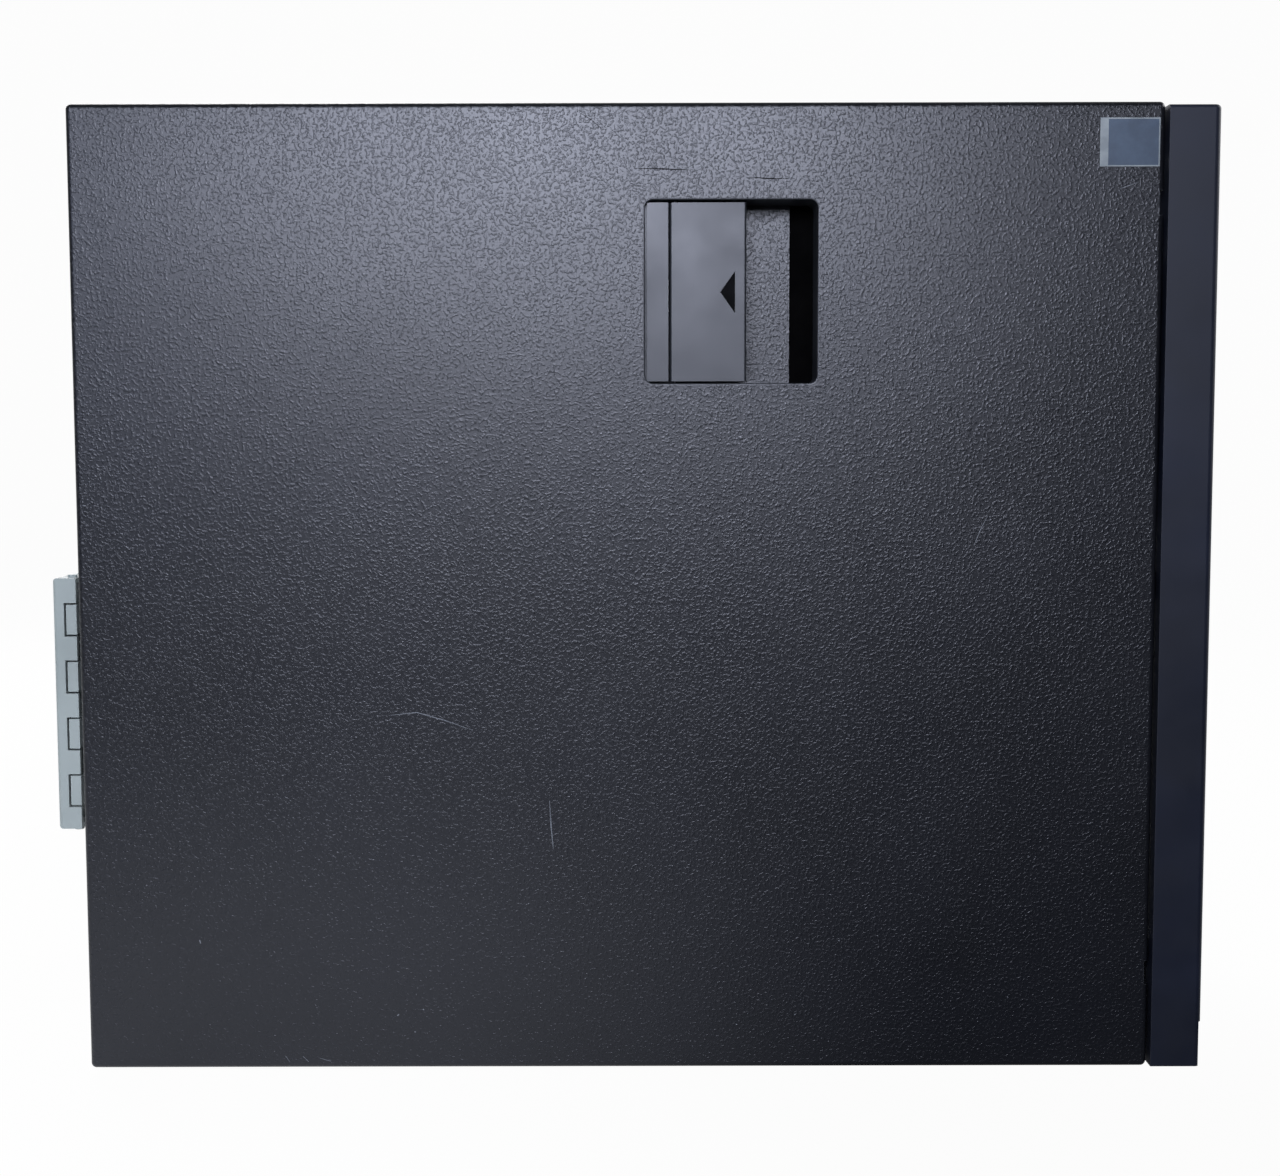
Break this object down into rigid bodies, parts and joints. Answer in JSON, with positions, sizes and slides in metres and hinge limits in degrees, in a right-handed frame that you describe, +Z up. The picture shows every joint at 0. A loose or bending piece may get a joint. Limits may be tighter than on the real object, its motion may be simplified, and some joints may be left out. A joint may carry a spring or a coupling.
{
  "type": "desktop computer tower",
  "caption": "Mini-tower desktop computer case with a latched side cover, front drive bays, rear card latch, and its board, drives, power supply and fans inside.",
  "frame": {"origin": "on the floor, under the middle of the bounding box", "axes": "+X out of the front bezel, -Y out of the removable side cover, +Z up"},
  "size_m": [0.4308, 0.175, 0.36],
  "materials": {
    "black_powder_coat": "textured black powder coat with a soft sheen",
    "zinc_steel": "plain zinc-plated sheet steel",
    "black_plastic": "moulded black plastic",
    "pale_plastic": "pale grey-blue moulded plastic",
    "blue_plastic": "moulded blue plastic",
    "red_plastic": "moulded red plastic",
    "clear_plastic": "milky clear plastic",
    "green_board": "solder-masked glass-fibre board",
    "bare_aluminium": "satin aluminium",
    "coin_steel": "bright steel",
    "cable_sleeve": "flexible sleeve",
    "foot_rubber": "matt rubber"
  },
  "bodies": {
    "chassis": {"base_pan": "black_powder_coat", "right_side_panel": "black_powder_coat", "top_panel": "black_powder_coat", "rear_wall": "zinc_steel", "rear_fan_grille": "zinc_steel", "front_wall": "zinc_steel", "rubber_feet": "foot_rubber", "slot_covers": "zinc_steel", "card_latch_bracket": "zinc_steel", "psu_case": "zinc_steel", "psu_guard": "zinc_steel", "psu_fan_frame": "black_plastic", "power_inlet": "black_plastic", "system_fan_frame": "black_plastic", "motherboard": "green_board", "screws": "zinc_steel", "cpu_socket": "black_plastic", "heatsink": "bare_aluminium", "cooler_fan_frame": "black_plastic", "board_sockets": "black_plastic", "memory_modules": "green_board", "chipset_heatsink": "bare_aluminium", "coin_cell": "coin_steel", "power_components": "black_plastic", "io_shield": "zinc_steel", "io_metal_ports": "zinc_steel", "io_plastic_ports": "black_plastic", "optical_drive_case": "zinc_steel", "optical_drive_front": "black_plastic", "drive_cage_near_plate": "zinc_steel", "drive_cage_far_plate": "zinc_steel", "drive_cage_shelf": "zinc_steel", "hdd_cage": "zinc_steel", "hard_drive": "bare_aluminium", "hdd_caddy": "blue_plastic", "front_bezel": "black_plastic", "bay_blank": "black_plastic", "bezel_grille": "black_plastic", "front_io_panel": "black_plastic", "front_io_board": "green_board", "front_ports": "zinc_steel", "indicator_lights": "clear_plastic", "power_loom": "cable_sleeve", "sata_cable": "cable_sleeve", "front_cable": "cable_sleeve"},
    "cover": {"side_cover": "black_powder_coat", "latch_housing": "black_plastic", "latch_pin": "zinc_steel", "latch_spring": "zinc_steel"},
    "latch_paddle": {"latch_paddle": "black_plastic"},
    "latch_bar": {"latch_bar": "zinc_steel"},
    "card_latch": {"card_latch": "pale_plastic"},
    "power_button": {"power_button": "black_plastic"},
    "disc_tray": {"disc_tray": "black_plastic", "tray_door": "black_plastic"},
    "eject_button": {"eject_button": "black_plastic"},
    "cooler_fan": {"cooler_fan_rotor": "black_plastic"},
    "system_fan": {"system_fan_rotor": "black_plastic"},
    "psu_fan": {"psu_fan_rotor": "black_plastic"},
    "psu_test_button": {"psu_test_button": "red_plastic"}
  },
  "joints": [
    {"name": "cover_tilt", "type": "hinge", "parent": "chassis", "child": "cover", "pos_m": [0, -0.0875, 0.003], "axis": [1, 0, 0], "range_deg": [0, 40]},
    {"name": "paddle_pivot", "type": "hinge", "parent": "cover", "child": "latch_paddle", "pos_m": [0.0176, -0.0839, 0.29215], "axis": [0, 0, -1], "range_deg": [0, 30]},
    {"name": "latch_bar_slide", "type": "slide", "parent": "cover", "child": "latch_bar", "axis": [1, 0, 0], "range_m": [0, 0.0097], "stiffness_N_per_m": 150, "deforming": ["latch_spring"]},
    {"name": "card_latch_swing", "type": "hinge", "parent": "chassis", "child": "card_latch", "pos_m": [-0.20915, -0.0715, 0.1394], "axis": [0, 0, 1], "range_deg": [0, 85]},
    {"name": "power_button_press", "type": "slide", "parent": "chassis", "child": "power_button", "axis": [-1, 0, 0], "range_m": [0, 0.0015], "stiffness_N_per_m": 400},
    {"name": "disc_tray_slide", "type": "slide", "parent": "chassis", "child": "disc_tray", "axis": [1, 0, 0], "range_m": [0, 0.13]},
    {"name": "eject_button_press", "type": "slide", "parent": "chassis", "child": "eject_button", "axis": [-1, 0, 0], "range_m": [0, 0.001], "stiffness_N_per_m": 400},
    {"name": "psu_test_button_press", "type": "slide", "parent": "chassis", "child": "psu_test_button", "axis": [1, 0, 0], "range_m": [0, 0.001], "stiffness_N_per_m": 400},
    {"name": "cooler_fan_spin", "type": "hinge", "parent": "chassis", "child": "cooler_fan", "pos_m": [-0.07435, 0.0334, 0.262], "axis": [0, -1, 0], "continuous": true},
    {"name": "system_fan_spin", "type": "hinge", "parent": "chassis", "child": "system_fan", "pos_m": [-0.20035, -0.01265, 0.288], "axis": [1, 0, 0], "continuous": true},
    {"name": "psu_fan_spin", "type": "hinge", "parent": "chassis", "child": "psu_fan", "pos_m": [-0.20035, -0.0215, 0.047], "axis": [1, 0, 0], "continuous": true}
  ],
  "couplings": [
    {"joint": "paddle_pivot", "follows": "latch_bar_slide", "rad_per_m": 53.982}
  ]
}
